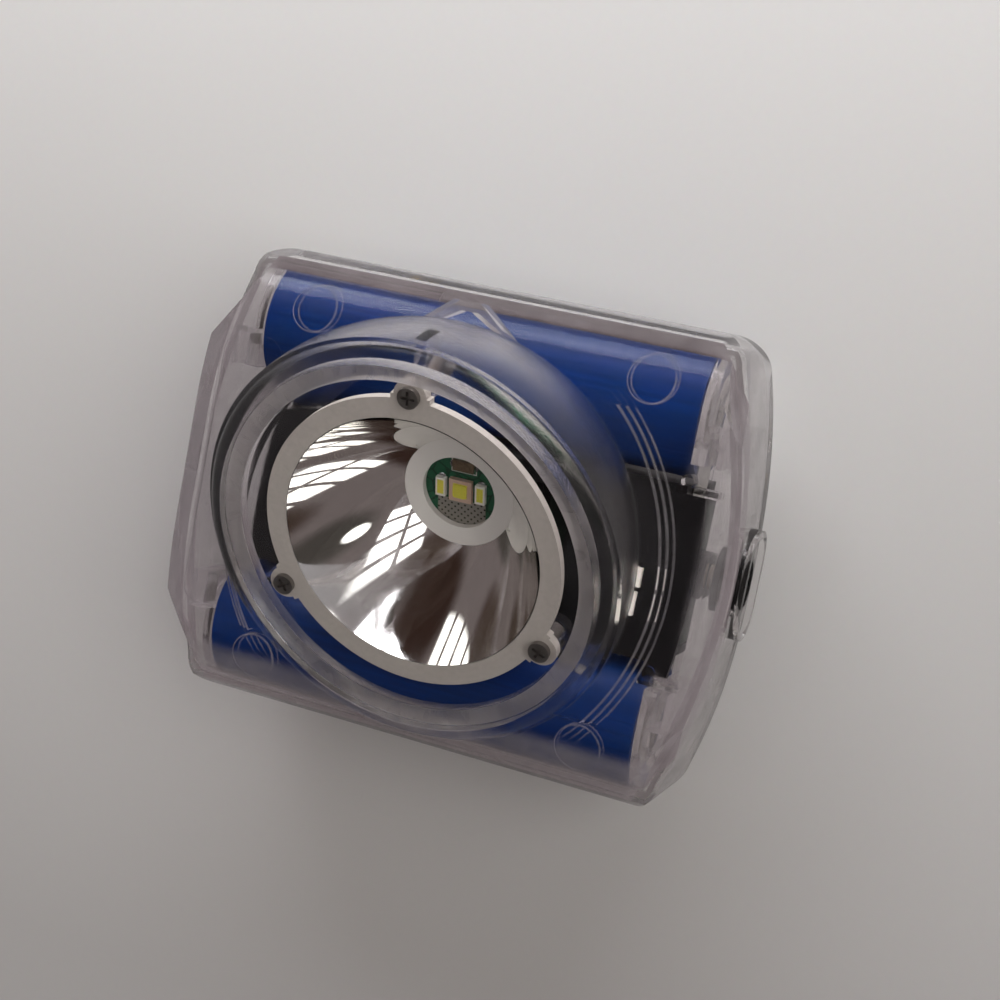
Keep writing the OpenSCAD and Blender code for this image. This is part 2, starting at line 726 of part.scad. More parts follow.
module helmet_clip() {
    half = clip_w / 2;
    r = 5;
    color([0.72, 0.73, 0.75]) difference() {
        union() {
            linear_extrude(clip_t) {
                translate([-half, clip_low + r]) square([clip_w, clip_high - clip_low - 2 * r]);
                translate([-half + r, clip_low]) square([clip_w - 2 * r, clip_high - clip_low]);
                for (sx = [-1, 1], y = [clip_low + r, clip_high - r])
                    translate([sx * (half - r), y]) circle(r = r);
            }
            block([-half + r, clip_high - clip_t, 0], [half - r, clip_high, clip_t + 2.4]);
        }
        for (s = [-1, 1]) {
            translate([s * clip_screw_x, clip_block_y, -1]) cylinder(r = clip_screw_r + 0.15, h = 4);
            translate([s * clip_screw_x, clip_block_y, -0.01])
                cylinder(r1 = clip_head_r + 0.05, r2 = clip_screw_r + 0.1, h = clip_t);
        }
    }
}

module clip_screws() {
    color([0.60, 0.61, 0.63]) for (s = [-1, 1]) translate([s * clip_screw_x, clip_block_y, 0]) difference() {
        union() {
            cylinder(r1 = clip_head_r, r2 = clip_screw_r, h = clip_t - 0.05);
            cylinder(r = clip_screw_r, h = clip_t + insert_h - 0.3);
        }
        translate([0, 0, -0.5]) cylinder(r = 0.9, h = 1.1, $fn = 6);
    }
}

module clip_inserts() {
    color([0.80, 0.66, 0.30]) for (s = [-1, 1]) translate([s * clip_screw_x, clip_block_y, clip_t])
        ring(insert_r, clip_screw_r, 0.05, insert_h);
}

front_shell();
rear_shell();
shell_gasket();
window();
window_seal();
reflector();
reflector_screws();
lamp_board();
main_chip();
side_chips();
board_resistor();
heat_spreader();
thermal_pad();
inner_frame();
upper_cell();
lower_cell();
cell_sleeves();
cell_rings();
positive_strip();
negative_strip();
left_spacer();
right_spacer();
control_board();
control_parts();
status_chips();
power_coil();
switch_board();
switch_body();
switch_plunger();
button_cap();
button_seal();
battery_wires();
lamp_wires();
switch_wires();
charge_contacts();
helmet_clip();
clip_screws();
clip_inserts();
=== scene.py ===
# %% [markdown]
# # A cordless miner's cap lamp
# The lamp is a clear moulded casing round two blue cells, with a tilted reflector behind a flat window.
# All its parts come from the CAD model, already in place and in metres. This lesson gives them their
# finishes, adds the small things that only show from close by, and sets up the camera and the light.

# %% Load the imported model
import math

import bmesh
import bpy
from mathutils import Matrix, Vector


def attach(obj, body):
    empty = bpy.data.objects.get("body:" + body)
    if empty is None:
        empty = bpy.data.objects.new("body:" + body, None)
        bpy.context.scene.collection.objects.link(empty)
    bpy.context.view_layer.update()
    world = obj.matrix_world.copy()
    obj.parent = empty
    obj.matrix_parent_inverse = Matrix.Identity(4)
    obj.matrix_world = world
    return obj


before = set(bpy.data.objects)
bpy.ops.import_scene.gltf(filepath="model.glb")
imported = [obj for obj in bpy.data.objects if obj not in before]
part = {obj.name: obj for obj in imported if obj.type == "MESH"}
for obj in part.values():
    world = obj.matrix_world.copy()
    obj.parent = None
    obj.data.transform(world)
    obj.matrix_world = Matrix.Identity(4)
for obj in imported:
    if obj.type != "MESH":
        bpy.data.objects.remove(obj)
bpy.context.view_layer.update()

# %% [markdown]
# ## The frame of the lens head
# The reflector, the window and the small lamp board share one axis that leans 24.7 degrees down from the
# casing's front. Pieces that belong to the head are drawn in millimetres along that axis, and one matrix
# brings them into the lamp's frame. The same numbers centre the patterns of their materials: a Mapping node
# of type Texture with them turns Object coordinates into millimetres along the lens axis.

# %% Lens frame
MM = 0.001
LENS_AT = Vector((1.0, 4.6, 23.4))  # foot of the mirror, in mm
LENS_TILT = math.radians(24.7)
LENS_MAP = {"Location": LENS_AT * MM, "Rotation": (LENS_TILT, 0.0, 0.0), "Scale": (MM, MM, MM)}
to_lamp = Matrix.Scale(MM, 4) @ Matrix.Translation(LENS_AT) @ Matrix.Rotation(LENS_TILT, 4, "X")
print("lens axis:", (to_lamp.to_3x3() @ Vector((0, 0, 1))).normalized()[:])

# %% [markdown]
# ## Camera
# The view is from above, a little from the button end, with a lens of about 65 mm on a full frame. The
# three columns of the camera's matrix are its right, its up and the direction that points back from it.

# %% Camera
CAMERA_AT = (0.09077, 0.03526, 0.26005)
right = Vector((0.9177, 0.1894, -0.3493))
down = Vector((0.2196, -0.9744, 0.0487))
ahead = Vector((-0.3311, -0.1214, -0.9357))
turn = Matrix((right, -down, -ahead)).transposed().to_4x4()

camera = bpy.data.objects.new("camera", bpy.data.cameras.new("camera"))
camera.data.lens = 64.8
camera.data.sensor_width = 36.0
camera.data.clip_start = 0.01
camera.matrix_world = Matrix.Translation(CAMERA_AT) @ turn
bpy.context.scene.collection.objects.link(camera)
bpy.context.scene.camera = camera
bpy.context.scene.view_settings.view_transform = "Standard"
print("camera at", camera.location[:])

# %% [markdown]
# ## Colours and nodes
# Colours are written as the hex values that a colour picker shows. A shader works with linear light, so one
# function turns a hex value into linear numbers. One more small function adds a node to a material, sets its
# properties and fills its sockets, either with a value or with a link from another node. The short functions
# after it only name the nodes that come back again and again.

# %% Colour and node helpers
def hexa(code, alpha=1.0):
    values = [int(code[i:i + 2], 16) / 255 for i in (0, 2, 4)]
    return tuple(v / 12.92 if v <= 0.04045 else ((v + 0.055) / 1.055) ** 2.4 for v in values) + (alpha,)


def put(tree, kind, settings=None, sockets=None):
    n = tree.nodes.new(kind)
    for name, value in (settings or {}).items():
        setattr(n, name, value)
    for name, value in (sockets or {}).items():
        if isinstance(value, bpy.types.NodeSocket):
            tree.links.new(value, n.inputs[name])
        else:
            n.inputs[name].default_value = value
    return n


def calc(tree, operation, *values, clamp=False):
    settings = {"operation": operation, "use_clamp": clamp}
    return put(tree, "ShaderNodeMath", settings, dict(enumerate(values))).outputs["Value"]


def vector(tree, operation, *values, gives="Vector"):
    return put(tree, "ShaderNodeVectorMath", {"operation": operation}, dict(enumerate(values))).outputs[gives]


def ramp(tree, value, low=0.0, high=1.0, to=(0.0, 1.0), shape="LINEAR"):
    sockets = {"Value": value, "From Min": low, "From Max": high, "To Min": to[0], "To Max": to[1]}
    return put(tree, "ShaderNodeMapRange", {"interpolation_type": shape}, sockets).outputs["Result"]


def blend(tree, share, first, second, kind="MIX"):
    settings = {"data_type": "RGBA", "blend_type": kind}
    return put(tree, "ShaderNodeMix", settings, {0: share, "A": first, "B": second}).outputs["Result"]


def noise(tree, where, scale, detail, **more):
    return put(tree, "ShaderNodeTexNoise",
               sockets={"Vector": where, "Scale": scale, "Detail": detail, **more}).outputs


def relief(tree, strength, depth, height, **more):
    return put(tree, "ShaderNodeBump",
               sockets={"Strength": strength, "Distance": depth, "Height": height, **more}).outputs["Normal"]


def mixed(tree, share, first, second):
    return put(tree, "ShaderNodeMixShader", sockets={0: share, 1: first, 2: second}).outputs["Shader"]


def principled(tree, sockets):
    return put(tree, "ShaderNodeBsdfPrincipled", sockets=sockets).outputs["BSDF"]


print("cell blue in linear light:", [round(v, 3) for v in hexa("1A3A8C")])

# %% [markdown]
# ## Places
# A finish often changes from one place of a piece to the next. These functions find the place: the
# millimetres along the lens axis, the distance from an axis, and the share, from nought to one, of a zone
# between two bounds with a soft edge. The last argument of zone is the unit that its bounds are given in.

# %% Place helpers
def split(tree, where):
    return put(tree, "ShaderNodeSeparateXYZ", sockets={"Vector": where}).outputs


def along_lens(tree, place):
    return put(tree, "ShaderNodeMapping", {"vector_type": "TEXTURE"}, {"Vector": place, **LENS_MAP}).outputs["Vector"]


def from_axis(tree, where):
    level = vector(tree, "MULTIPLY", where, (1.0, 1.0, 0.0))
    return vector(tree, "LENGTH", level, gives="Value")


def zone(tree, value, low, high, soft, unit=1.0):
    rise = ramp(tree, value, (low - soft) * unit, (low + soft) * unit, shape="SMOOTHSTEP")
    fall = ramp(tree, value, (high + soft) * unit, (high - soft) * unit, shape="SMOOTHSTEP")
    return calc(tree, "MULTIPLY", rise, fall)


# %% [markdown]
# ## Making a finish
# Each finish starts from an empty node tree and the Object coordinates, and ends in one output node. Then it
# is given to the nodes of the CAD model that are made of it.

# %% Finish helpers
def finish_named(name):
    material = bpy.data.materials.new(name)
    material.use_nodes = True
    tree = material.node_tree
    tree.nodes.clear()
    place = put(tree, "ShaderNodeTexCoord").outputs["Object"]
    return material, tree, place


def show(tree, shader):
    put(tree, "ShaderNodeOutputMaterial", sockets={"Surface": shader})


def give(material, *names):
    for name in names:
        slots = part[name].data.materials
        slots.clear()
        slots.append(material)
    print(material.name, "->", ", ".join(names))


def light_through(tree, shader, grey):
    through = put(tree, "ShaderNodeBsdfTransparent", sockets={"Color": hexa(grey)}).outputs["BSDF"]
    shadow = put(tree, "ShaderNodeLightPath").outputs["Is Shadow Ray"]
    return mixed(tree, shadow, shader, through)


# %% [markdown]
# ## Clear polycarbonate
# Both halves of the casing are injection-moulded clear polycarbonate, polished in the mould on its flats and
# left with a fine spark-eroded grain on the ball-shaped dome and on the lower shoulder. Two things set the
# look. Light that goes straight through is bent only a little, because the two faces of a wall run side by
# side, so a lower index than the 1.585 of the solid keeps the picture of the cells steady. And a few
# percent of it is scattered, which fills the walls with the colour of the room. A clear solid in a path
# tracer throws a shadow as black as a stone's, because light that is bent through it isn't followed to the
# lamps, so for shadow rays alone the surface is a plain see-through one, slightly grey.
#
# The scattering is not even. The moulding is milky at both ends, where the ribs of the spacers lie behind
# it, but not over the dark bay of the switch and not in the oval guard of the button. It is milky on the
# lower shoulder, fainter along the brow over the upper cell, and barely so on the ball. The lanyard loop,
# the rims of the round pads and the three steps of the plinth carry a painted highlight: thin milky lines
# that stand in for the light of the whole room which their small radii catch.

# %% Where the casing is milky
BALL_AT, BALL_R = (0.0, 0.0, 16.0), 30.8            # on the lens axis, in mm
LOOP_AT = Vector((1.0, 29.2, 32.9))                 # middle of the lanyard loop, in mm
LOOP_HALF = Vector((8.5, 2.6, 2.2))
PAD_AT = Vector((25.4, 25.7, 0.0))                  # one pad in each corner, measured from MID_AT
MID_AT = Vector((1.0, 0.0, 0.0))
PLINTH_AT = Vector((1.0, -2.09, 0.0))
STEP_R, STEP_HALF = 32.3, 0.4                       # first step of the plinth, half the way to the next
FAR = 50.0                                          # outside the lamp in every direction


def ball_share(tree, place):
    off_centre = vector(tree, "DISTANCE", along_lens(tree, place), BALL_AT, gives="Value")
    return ramp(tree, off_centre, BALL_R + 0.2, BALL_R - 0.2, shape="SMOOTHSTEP")


def end_share(tree, at):
    beside = calc(tree, "ABSOLUTE", at["X"])
    aside = calc(tree, "ABSOLUTE", at["Y"])
    off_bay = calc(tree, "MAXIMUM", zone(tree, aside, 13.5, FAR, 0.6, MM), zone(tree, at["X"], -FAR, 0.0, 1.0, MM))
    over_spacers = calc(tree, "MULTIPLY", zone(tree, beside, 34.2, FAR, 1.0, MM), off_bay)
    fainter = calc(tree, "MULTIPLY", over_spacers, 0.55)
    both_ends = calc(tree, "MAXIMUM", zone(tree, beside, 37.8, FAR, 1.2, MM), fainter)
    guard = calc(tree, "MULTIPLY", zone(tree, at["X"], 41.8, FAR, 0.3, MM), zone(tree, at["Y"], -8.0, 8.8, 0.5, MM))
    return calc(tree, "SUBTRACT", both_ends, guard, clamp=True)


# the next three masks place painted highlights: thin pale lines on the loop, the pad rims and the plinth steps
def loop_highlight_share(tree, place):
    from_loop = vector(tree, "SUBTRACT", place, LOOP_AT * MM)
    in_loop = vector(tree, "DIVIDE", from_loop, LOOP_HALF * MM)
    return ramp(tree, vector(tree, "LENGTH", in_loop, gives="Value"), 1.5, 1.2)


def pad_rim_highlight_share(tree, place, at):
    quarter = vector(tree, "ABSOLUTE", vector(tree, "SUBTRACT", place, MID_AT * MM))
    round_pad = from_axis(tree, vector(tree, "SUBTRACT", quarter, PAD_AT * MM))
    return calc(tree, "MULTIPLY", zone(tree, round_pad, 3.2, 3.45, 0.1, MM), zone(tree, at["Z"], 22.9, 40.0, 0.5, MM))


def step_highlight_share(tree, place, at):
    radius = from_axis(tree, vector(tree, "SUBTRACT", place, PLINTH_AT * MM))
    off_step = calc(tree, "PINGPONG", calc(tree, "SUBTRACT", radius, STEP_R * MM), STEP_HALF * MM)
    near_step = ramp(tree, off_step, 0.16 * MM, 0.1 * MM)
    on_plinth = calc(tree, "MULTIPLY", zone(tree, radius, 32.1, 34.1, 0.1, MM),
                     zone(tree, at["Z"], 28.3, 30.5, 0.2, MM))
    return calc(tree, "MULTIPLY", near_step, on_plinth)


print("milky zones: ball, shoulder, ends, brow, loop, pads, steps")

# %% Clear casing
MOST_MILK = 0.33          # share of the light that a fully milky wall scatters
CASING_GREY = "F0EEEF"


def clear_plastic(name, tint, mist, index, haze, frost):
    material, tree, place = finish_named(name)
    at = split(tree, place)
    ball = ball_share(tree, place)
    shoulder = zone(tree, at["Y"], -33.5, -26.2, 1.4, MM)
    brow = zone(tree, at["Y"], 29.7, FAR, 1.2, MM)
    milky = end_share(tree, at)
    for share, weight in ((ball, 0.04), (brow, 0.32), (shoulder, 1.1)):
        milky = calc(tree, "MULTIPLY_ADD", share, weight, milky)
    # painted highlights: the loop, pad rims and plinth steps are made milky in thin lines, in place of the light their
    # small radii catch
    for edge in (loop_highlight_share(tree, place), pad_rim_highlight_share(tree, place, at), step_highlight_share(tree, place, at)):
        milky = calc(tree, "MAXIMUM", milky, edge)

    patch = noise(tree, place, 180.0, 5.0, Roughness=0.65)["Fac"]
    worn = ramp(tree, patch, 0.35, 0.7, to=(0.55, 1.25))
    misted = calc(tree, "MULTIPLY", ramp(tree, milky, to=(haze, haze + MOST_MILK)), worn)

    matt = calc(tree, "MAXIMUM", ball, shoulder)
    rough = ramp(tree, matt, to=(0.05, frost))
    grain = noise(tree, place, 2600.0, 2.0)["Fac"]
    flow = noise(tree, place, 70.0, 2.0)["Fac"]
    normal = relief(tree, 0.3, 0.00012, calc(tree, "MULTIPLY_ADD", matt, grain, flow))

    skin = principled(tree, {"Base Color": hexa(tint), "IOR": index, "Transmission Weight": 1.0,
                             "Roughness": rough, "Normal": normal})
    body = put(tree, "ShaderNodeBsdfDiffuse", sockets={"Color": hexa(mist), "Normal": normal})
    glow = put(tree, "ShaderNodeBsdfTranslucent", sockets={"Color": hexa(mist), "Normal": normal})
    milk = mixed(tree, 0.5, body.outputs["BSDF"], glow.outputs["BSDF"])
    show(tree, light_through(tree, mixed(tree, misted, skin, milk), CASING_GREY))
    return material


give(clear_plastic("clear_polycarbonate", "F4F1F2", "B9B4B6", 1.17, 0.003, 0.22), "front_shell")
give(clear_plastic("clear_polycarbonate_back", "F4F2F2", "B9B6B6", 1.2, 0.01, 0.22), "rear_shell")
# the spacers are the same plastic, but plain and polished all over
give(clear_plastic("clear_spacer_polycarbonate", "F4F2F2", "C4C0C2", 1.22, 0.06, 0.1), "left_spacer", "right_spacer")
# the gasket between the halves is clear silicone, squeezed flat, and hardly shows
give(clear_plastic("clear_silicone_seal", "EFEDED", "B9B6B6", 1.1, 0.03, 0.3), "shell_gasket")
# the window is bonded on a ring of clear adhesive, whose fine bubbles make it the palest of all
give(clear_plastic("clear_adhesive_ring", "F0EEEC", "BEBAB8", 1.1, 0.28, 0.4), "window_seal")

# %% [markdown]
# ## The window
# The flat window is a disc of polished polycarbonate: clear, with no grain, and with hardly visible wiping
# marks. Its index is close to that of the solid, because its mirror-like sheen is all that shows of it.

# %% Window
material, tree, place = finish_named("polished_window")
wiped = noise(tree, place, 90.0, 3.0, Distortion=1.5)["Fac"]
smear = ramp(tree, wiped, 0.5, 0.8, to=(0.0, 0.03))
glass = principled(tree, {"Base Color": hexa("FBFBFC"), "IOR": 1.5, "Transmission Weight": 1.0, "Roughness": smear})
show(tree, light_through(tree, glass, "F8F8F9"))
give(material, "window")

# %% [markdown]
# ## The reflector
# The reflector is moulded ABS with aluminium evaporated onto it. In the bowl the mould is polished, and the
# film gives a bright mirror with a slightly cold tone. The flat rim, the ears and the ring at the foot come
# from a matt mould, so the same film there scatters light and looks like pale beige satin, palest on the
# ring at the foot. One material does all of it: the distance from the lens axis and the height along it
# tell the bowl from the flats.

# %% Aluminised reflector
FOOT_R, MOUTH_R, MIRROR_H = 8.5, 18.9, 15.8   # of the bowl, in mm

material, tree, place = finish_named("aluminised_abs")
lens = along_lens(tree, place)
radius = from_axis(tree, lens)
inside = zone(tree, radius, 8.62, 18.85, 0.06)
above_foot = zone(tree, split(tree, lens)["Z"], 0.06, 15.76, 0.03)
bowl = calc(tree, "MULTIPLY", inside, above_foot)
spots = noise(tree, place, 1400.0, 3.0)["Fac"]
waves = noise(tree, place, 60.0, 1.0)["Fac"]
satin = blend(tree, spots, hexa("CAC3BB"), hexa("B6AFA7"))
at_foot = ramp(tree, radius, 10.0, 9.0)
flats = blend(tree, at_foot, satin, hexa("FAF6F0"))
tone = blend(tree, bowl, flats, hexa("F1F0EE"))
grainy = relief(tree, 0.05, 0.00003, spots)
skin = principled(tree, {"Base Color": tone, "Roughness": ramp(tree, bowl, to=(0.55, 0.025)),
                         "Metallic": ramp(tree, bowl, to=(0.25, 1.0)),
                         "Normal": relief(tree, 0.12, 0.0004, waves, Normal=grainy)})
show(tree, skin)
give(material, "reflector")

# %% [markdown]
# ## The aluminium film in the bowl
# The CAD bowl is a stack of sixteen narrow cones, and a mirror shows each of their edges. The evaporated film
# is modelled as its own smooth sheet, 0.15 mm in front of them: one curved profile from the foot to the
# mouth, spun once round the axis and shaded smooth.

# %% Evaporated aluminium
material, tree, place = finish_named("evaporated_aluminium")
waves = noise(tree, place, 70.0, 1.0)["Fac"]
haze = noise(tree, place, 500.0, 4.0)["Fac"]
tone = blend(tree, haze, hexa("F6F5F3"), hexa("E6E5E2"))
skin = principled(tree, {"Base Color": tone, "Metallic": 1.0, "Roughness": ramp(tree, haze, 0.4, 0.8, to=(0.02, 0.06)),
                         "Normal": relief(tree, 0.1, 0.0004, waves)})
show(tree, skin)
aluminium = material
print(aluminium.name, "is ready for the film")

# %% Mirror film
FILM_GAP, FILM_FOOT = 0.15, 0.03      # in front of the cones, and above the foot, in mm
PROFILE_STEPS, ROUND_STEPS = 60, 192


def as_object(mesh, name, material):
    data = bpy.data.meshes.new(name)
    mesh.to_mesh(data)
    mesh.free()
    data.materials.append(material)
    piece = bpy.data.objects.new(name, data)
    bpy.context.scene.collection.objects.link(piece)
    return piece


swell = (MOUTH_R ** 2 - FOOT_R ** 2) / MIRROR_H
heights = [FILM_FOOT + (MIRROR_H - FILM_FOOT) * i / PROFILE_STEPS for i in range(PROFILE_STEPS + 1)]
film = bmesh.new()
profile = [film.verts.new((math.sqrt(FOOT_R ** 2 + swell * t) - FILM_GAP, 0.0, t)) for t in heights]
line = [film.edges.new((a, b)) for a, b in zip(profile, profile[1:])]
bmesh.ops.spin(film, geom=profile + line, cent=(0, 0, 0), axis=(0, 0, 1), angle=math.tau, steps=ROUND_STEPS,
               use_merge=True)
bmesh.ops.recalc_face_normals(film, faces=film.faces)
bmesh.ops.reverse_faces(film, faces=film.faces)
film.transform(to_lamp)
mirror_film = as_object(film, "mirror_film", aluminium)
mirror_film.data.shade_smooth()
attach(mirror_film, "lamp")

on_axis = to_lamp @ Vector((0, 0, 12))
facing = sum((on_axis - f.center).dot(f.normal) > 0 for f in mirror_film.data.polygons)
print("mirror film:", len(mirror_film.data.polygons), "faces,", facing, "of them facing the axis")

# %% [markdown]
# ## The cells' shrink film
# Each steel cell wears a sleeve of deep blue PVC film, shrunk on with hot air. The film is smooth and
# semi-gloss, with faint lengthwise stripes from the die it was drawn through and a slightly orange-peel skin.
# The stripes are half a millimetre apart, drawn a little coarser than life so that they show at all.

# %% Blue shrink film
STRIPE_SCALE = (40.0, 1900.0, 1900.0)

material, tree, place = finish_named("blue_shrink_film")
stretched = put(tree, "ShaderNodeMapping", sockets={"Vector": place, "Scale": STRIPE_SCALE}).outputs["Vector"]
stripes = noise(tree, stretched, 1.0, 2.0)["Fac"]
peel = noise(tree, place, 900.0, 3.0)["Fac"]
cloud = noise(tree, place, 90.0, 2.0)["Color"]
striped = blend(tree, stripes, hexa("011E4E"), hexa("02347A"))
tone = blend(tree, 0.35, striped, cloud, "MULTIPLY")
skin = principled(tree, {"Base Color": tone, "Roughness": 0.48, "IOR": 1.53, "Specular IOR Level": 0.12,
                         "Normal": relief(tree, 0.25, 0.00004, peel)})
show(tree, skin)
give(material, "cell_sleeves")

# %% [markdown]
# ## The lamp board
# The small round board is glass-epoxy laminate under green solder mask. Its copper shows as a slightly paler
# green, and below the lamp chips the mask is left open over a field of plated holes that carry heat to the
# back: tin-grey with rows of small dark holes. The rows of holes are a wrapped pattern: the board's own
# plane is turned by an eighth and folded into square cells of 0.72 mm.

# %% Board with plated holes
HOLES_X, HOLES_Y = 3.7, (-6.0, -1.8)     # the open field: to either side, and from bottom to top, in mm
EIGHTH_TURN = 0.785
CELL = Vector((0.36, 0.36, 50.0))        # half a cell of the pattern, in mm, not folded along the axis

material, tree, place = finish_named("green_solder_mask_board")
lens = along_lens(tree, place)
axes = split(tree, lens)
beside = calc(tree, "ABSOLUTE", axes["X"])
field = calc(tree, "MULTIPLY", zone(tree, axes["Y"], *HOLES_Y, 0.08), zone(tree, beside, -1.0, HOLES_X, 0.08))
turned = put(tree, "ShaderNodeVectorRotate", {"rotation_type": "Z_AXIS"}, {"Vector": lens, "Angle": EIGHTH_TURN})
folded = vector(tree, "WRAP", turned.outputs["Vector"], CELL, -CELL)
dots = ramp(tree, from_axis(tree, folded), 0.17, 0.12)
copper = put(tree, "ShaderNodeTexVoronoi", {"feature": "DISTANCE_TO_EDGE"}, {"Vector": lens, "Scale": 0.45})
track = ramp(tree, copper.outputs["Distance"], 0.03, 0.06)
mask = blend(tree, track, hexa("0D3A27"), hexa("1C5E40"))
tin = blend(tree, dots, hexa("A9A59C"), hexa("2A241E"))
skin = principled(tree, {"Base Color": blend(tree, field, mask, tin), "Roughness": 0.35,
                         "Metallic": ramp(tree, field, to=(0.0, 0.5)),
                         "Normal": relief(tree, 0.3, 0.00003, track)})
show(tree, skin)
give(material, "lamp_board")

# %% [markdown]
# ## The lamp chips
# The middle package is a pinkish ceramic square with a soft yellow cushion of phosphor in silicone. The two
# side packages are white plastic frames filled level with yellow phosphor. Again the place along the lens
# axis and beside it tells the frame from the filling, which shows only above the height from_t. The status
# lamps have no filling that shows, so its height is set far out of their reach.

# %% Chip packages
CHIP_Y = 0.05            # the row of packages lies this far above the lens axis, in mm
OUT_OF_REACH = 90.0


def chip_package(name, frame_tone, phosphor, centre_x, half_x, half_y, from_t):
    material, tree, place = finish_named(name)
    lens = along_lens(tree, place)
    axes = split(tree, lens)
    beside = calc(tree, "ABSOLUTE", axes["X"])
    filled = calc(tree, "MULTIPLY", zone(tree, beside, centre_x - half_x, centre_x + half_x, 0.06),
                  zone(tree, axes["Y"], CHIP_Y - half_y, CHIP_Y + half_y, 0.06))
    top = ramp(tree, axes["Z"], from_t - 0.03, from_t + 0.03)
    speck = noise(tree, lens, 5.0, 3.0)
    grain = blend(tree, 0.3, hexa(phosphor), speck["Color"], "MULTIPLY")
    tone = blend(tree, calc(tree, "MULTIPLY", filled, top), hexa(frame_tone), grain)
    skin = principled(tree, {"Base Color": tone, "Roughness": 0.35, "Subsurface Weight": 0.1,
                             "Subsurface Scale": 0.0004, "Normal": relief(tree, 0.2, 0.00003, speck["Fac"])})
    show(tree, skin)
    return material


give(chip_package("ceramic_and_phosphor", "D6B8A6", "FBF25A", 0.0, 1.08, 1.08, -0.58), "main_chip")
give(chip_package("white_package_and_phosphor", "F2F0E6", "FAF158", 3.05, 0.5, 1.1, -0.5), "side_chips")
give(chip_package("pale_package", "E9E6DC", "F4F2EA", 0.0, 0.5, 0.5, OUT_OF_REACH), "status_chips")

# %% [markdown]
# ## Finishes in one tone
# The other parts are each of one stuff, and what tells them apart is their gloss, their metal and their
# grain. One function builds such a finish from two close tones, a grain size in millimetres and a bump that
# follows the same grain. The grain is about half a millimetre for moulded plastic and rubber, 0.1 to 0.3 mm
# for plated, turned or brushed metal, and about a millimetre for the mottling of boards and pads.

# %% One-tone finishes
def toned(name, dark, light, roughness, metallic=0.0, grain_mm=0.4, strength=0.2, specular=0.5):
    material, tree, place = finish_named(name)
    spots = noise(tree, place, 1.0 / (grain_mm * MM), 4.0)["Fac"]
    clouds = noise(tree, place, 120.0, 3.0)["Fac"]
    share = ramp(tree, calc(tree, "MULTIPLY", spots, clouds), 0.12, 0.4)
    gloss = ramp(tree, clouds, 0.3, 0.7, to=(roughness - 0.08, roughness + 0.08))
    skin = principled(tree, {"Base Color": blend(tree, share, hexa(dark), hexa(light)), "Metallic": metallic,
                             "Roughness": gloss, "Specular IOR Level": specular,
                             "Normal": relief(tree, strength, 0.00004, spots)})
    show(tree, skin)
    return material


# zinc plate over pressed or turned steel: pale, slightly blue, fine grained
give(toned("zinc_plated_steel", "8C8E92", "B4B6BA", 0.35, 1.0, 0.1), "clip_screws")
# the three small screws in the reflector's ears: blackened, and worn to a warm grey
give(toned("blackened_steel", "77736F", "938E89", 0.45, 1.0, 0.1), "reflector_screws")
# glass-epoxy board under green mask, as in every cheap circuit
green_mask = toned("green_solder_mask", "0A1E15", "12301F", 0.4, 0.0, 1.2, specular=0.3)
give(green_mask, "control_board", "switch_board")
# black epoxy of moulded chips and ferrite: dull, nearly without colour
give(toned("black_epoxy", "0E0E10", "1A1A1D", 0.5, 0.0, 0.3, specular=0.3), "control_parts", "power_coil")
# the resistor's body is a brown glaze over ceramic
give(toned("brown_glaze", "5A4838", "8C765E", 0.35, 0.0, 0.5), "board_resistor")
# black ABS from a lightly textured mould
give(toned("black_abs", "08080A", "131314", 0.4, 0.0, 0.5, specular=0.14), "inner_frame", "switch_body")
# drawn nickel-plated steel can and the pure nickel strip welded to it
give(toned("nickel_plated_can", "9FA1A4", "C4C6C8", 0.3, 1.0, 0.2), "upper_cell", "lower_cell")
nickel = toned("nickel_strip", "A3A29C", "C6C5BF", 0.28, 1.0, 0.25)
give(nickel, "positive_strip", "negative_strip")
# pressed white fibre card under the positive cap
give(toned("white_fibre_card", "D2D1CA", "ECEBE5", 0.85, 0.0, 0.25, 0.5), "cell_rings")
# milled aluminium disc that takes the heat of the lamp
give(toned("milled_aluminium", "9A9CA0", "C6C8CB", 0.4, 1.0, 0.2), "heat_spreader")
# silicone of the heat pad, dull grey
give(toned("grey_silicone", "77767A", "97969A", 0.6, 0.0, 0.8), "thermal_pad")
# tan acetal plunger, waxy
give(toned("tan_acetal", "776A57", "968A74", 0.45, 0.0, 0.5), "switch_plunger")
# black silicone rubber of the button, matt and with next to no sheen
give(toned("black_silicone_rubber", "020202", "080808", 0.78, 0.0, 0.6, 0.35, 0.06), "button_cap", "button_seal")
# PVC wire covers
give(toned("red_pvc", "7E1010", "A81C1A", 0.4, 0.0, 0.6), "battery_wires")
give(toned("white_pvc", "BDBDB8", "DDDDD8", 0.4, 0.0, 0.6), "lamp_wires")
give(toned("yellow_pvc", "A88A14", "D0AE24", 0.4, 0.0, 0.6), "switch_wires")
# turned brass of the charging contacts and the threaded inserts
give(toned("turned_brass", "A8873E", "CDB06A", 0.28, 1.0, 0.15), "charge_contacts", "clip_inserts")
# brushed stainless spring steel of the helmet clip
give(toned("stainless_spring_steel", "85878B", "A9ABAF", 0.33, 1.0, 0.12), "helmet_clip")

# %% [markdown]
# ## Small pieces on the lamp board
# Close up, the resistor sits in a thin white printed box. It and the side packages have a bright fillet of
# solder at both of their ends. The box is one square grid cell, inset to a narrow band whose inner face is
# deleted, and raised by 0.03 mm. The fillets are small domes, flattened and let into the board.

# %% Printed box
def keep(mesh, name, material, matrix):
    mesh.transform(matrix)
    bmesh.ops.recalc_face_normals(mesh, faces=mesh.faces)
    piece = as_object(mesh, name, material)
    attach(piece, "lamp")
    print(name, len(piece.data.polygons), "faces")
    return piece


BOX_HALF, BOX_LINE, INK = (1.95, 1.12, 1.0), 0.16, 0.03     # in mm
BOX_AT = (0.3, 3.8, -1.205)

